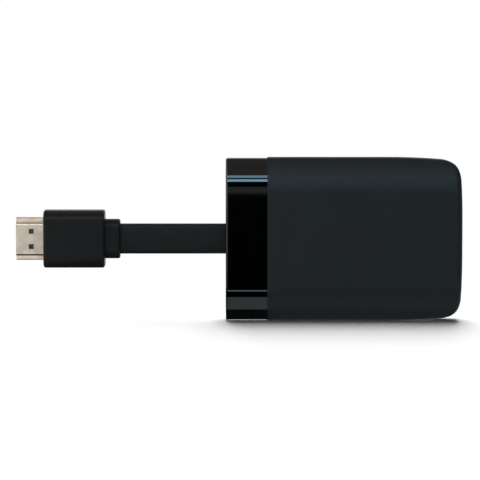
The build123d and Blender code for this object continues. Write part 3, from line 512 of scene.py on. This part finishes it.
# The strips stand at one distance from a point high on the housing. Their elevation and their width in
# degrees are seen from there. They are cool where the end cap sees them and warm where the plug does.
STRIP_DISTANCE = 1.1
STRIP_AIM = 45 * MM
for name, elevation, degrees, left, right, code, level in (
    ("lower_strip", 24.2, 5.4, -0.12, ROOM_SIDE, "#a0deff", 9.5),
    ("upper_strip", 32.8, 5.6, -0.12, ROOM_SIDE, "#aee9ff", 5.5),
    ("lower_plug_strip", 24.2, 5.4, -ROOM_SIDE, -0.12, "#fff0e2", 7.0),
    ("upper_plug_strip", 33.4, 5.6, -ROOM_SIDE, -0.12, "#fff0e2", 5.0),
):
    middle = (left + right) / 2
    y, z = rising(STRIP_DISTANCE, elevation, STRIP_AIM)
    add_lamp(
        name, (middle, y, z), (middle, 0, STRIP_AIM), right - left, STRIP_DISTANCE * math.radians(degrees),
        level, code, reflected=True,
    )


def glow(name, code, strength):
    """Plain glowing material for a card, which paints a reflection, bright or, at level 0, black."""
    material = bpy.data.materials.new(name)
    material.use_nodes = True
    material.node_tree.nodes.clear()
    light = add_node(
        material.node_tree, "ShaderNodeEmission", {"Color": linear(code), "Strength": strength},
    )
    add_node(material.node_tree, "ShaderNodeOutputMaterial", {"Surface": light.outputs["Emission"]})
    return material


def hide_card(card, code, level):
    """Give a card its glow and hide it from all but reflections, where it is a painted reflection."""
    card.data.materials.append(glow(card.name, code, level))
    card.visible_camera = False
    card.visible_diffuse = False
    card.visible_transmission = False
    card.visible_shadow = False


def add_card(name, left, right, start, end, code, level):
    """Card from the (y, z) start to the (y, z) end, seen only in reflections."""
    bm = bmesh.new()
    bmesh.ops.create_grid(bm, x_segments=1, y_segments=1, size=0.5)
    across = Vector((right - left, 0, 0))
    up = Vector((0, end[0] - start[0], end[1] - start[1]))
    shape = Matrix((across, up, across.cross(up).normalized())).transposed().to_4x4()
    middle = Vector(((left + right) / 2, (start[0] + end[0]) / 2, (start[1] + end[1]) / 2))
    bmesh.ops.transform(bm, matrix=Matrix.Translation(middle) @ shape, verts=bm.verts)
    hide_card(finish_piece(bm, name, smooth=False), code, level)


def add_side_card(name, x, front, back, height, code, level):
    """Upright card beside the stick at x, from y = front to y = back, seen only in reflections."""
    bm = bmesh.new()
    bmesh.ops.create_grid(bm, x_segments=1, y_segments=1, size=0.5)
    bmesh.ops.scale(bm, vec=(height, back - front, 1), verts=bm.verts)
    bmesh.ops.rotate(bm, matrix=Matrix.Rotation(math.pi / 2, 3, "Y"), verts=bm.verts)
    bmesh.ops.translate(bm, vec=(x, (front + back) / 2, height / 2), verts=bm.verts)
    hide_card(finish_piece(bm, name, smooth=False), code, level)


# In front and above, cards that are painted reflections only: a grey ceiling, a black gap behind the
# strips, and a wall, black above, dim below
for name, left, start, end, code, level in (
    ("ceiling_card", -ROOM_SIDE, rising(1.2, 35), rising(0.9, 76), "#aaa39c", 1.0),
    ("back_ceiling_card", -ROOM_SIDE, rising(0.9, 78), rising(0.9, 140), "#b5b0aa", 1.0),
    ("strip_gap", -ROOM_SIDE, rising(1.4, 17), rising(1.4, 37), "#000000", 0.0),
    ("front_flag_black", -0.15, (ROOM_FRONT, 0.185), (ROOM_FRONT, 0.32), "#000000", 0.0),
    ("front_flag_dim", -0.15, (ROOM_FRONT, 0.0), (ROOM_FRONT, 0.185), "#9aa3a5", 1.0),
):
    add_card(name, left, ROOM_SIDE, start, end, code, level)

# On the floor in front, just above the paper, cards that are painted reflections only: bright and dark
# bands that the lower edge mirrors, and painted shade in front of the foot and under the lead and the plug
CARD_Z = 0.05 * MM
for name, left, right, start, end, code, level in (
    ("floor_flag", -0.12, ROOM_SIDE, ROOM_FRONT, -0.13, "#000000", 0.0),
    ("floor_near_flag", -0.095, 0.3, -0.13, -0.0568, "#000000", 0.0),
    ("floor_line", -0.095, 0.3, -0.0568, -0.0463, "#cfe4f5", 2.9),
    ("floor_gap", -0.095, 0.3, -0.0463, -0.0224, "#000000", 0.0),
    # Painted bounce light: a pale card where the paper in front of the foot lies in shade
    ("floor_bounce", -0.045, 0.3, -0.0224, -0.0081, "#d6e2e2", 1.0),
    # Painted shade in front of the foot, darker under the cap than under the shell
    ("floor_cap_shade", -0.045, -0.0244, -0.0081, -0.0022, "#3c4244", 1.0),
    ("floor_shell_shade", -0.0244, 0.3, -0.0081, -0.0022, "#a9b3b6", 1.0),
    # Painted glint: a bright card under the foot that gives the lower edge a bright line
    ("foot_line", -0.0375, 0.03, -0.0022, -0.0005, "#ffffff", 5.0),
    # Painted shade under the plug shell, the plug body and the lead
    ("plug_shell_shade", -0.13, -0.0974, -0.011, 0.2, "#5a554e", 1.0),
    ("plug_body_shade", -0.0974, -0.045, -0.0224, 0.2, "#000000", 0.0),
):
    add_card(name, left, right, (start, CARD_Z), (end, CARD_Z), code, level)
# Upright cards seen only in reflections: painted shade on the right end, a painted highlight on the left
# end
add_side_card("right_flag", 0.6, front=-0.6, back=0.6, height=0.6, code="#707273", level=1.0)
add_side_card("left_glow", -0.6, front=-0.8, back=0.15, height=0.8, code="#ffffff", level=2.0)
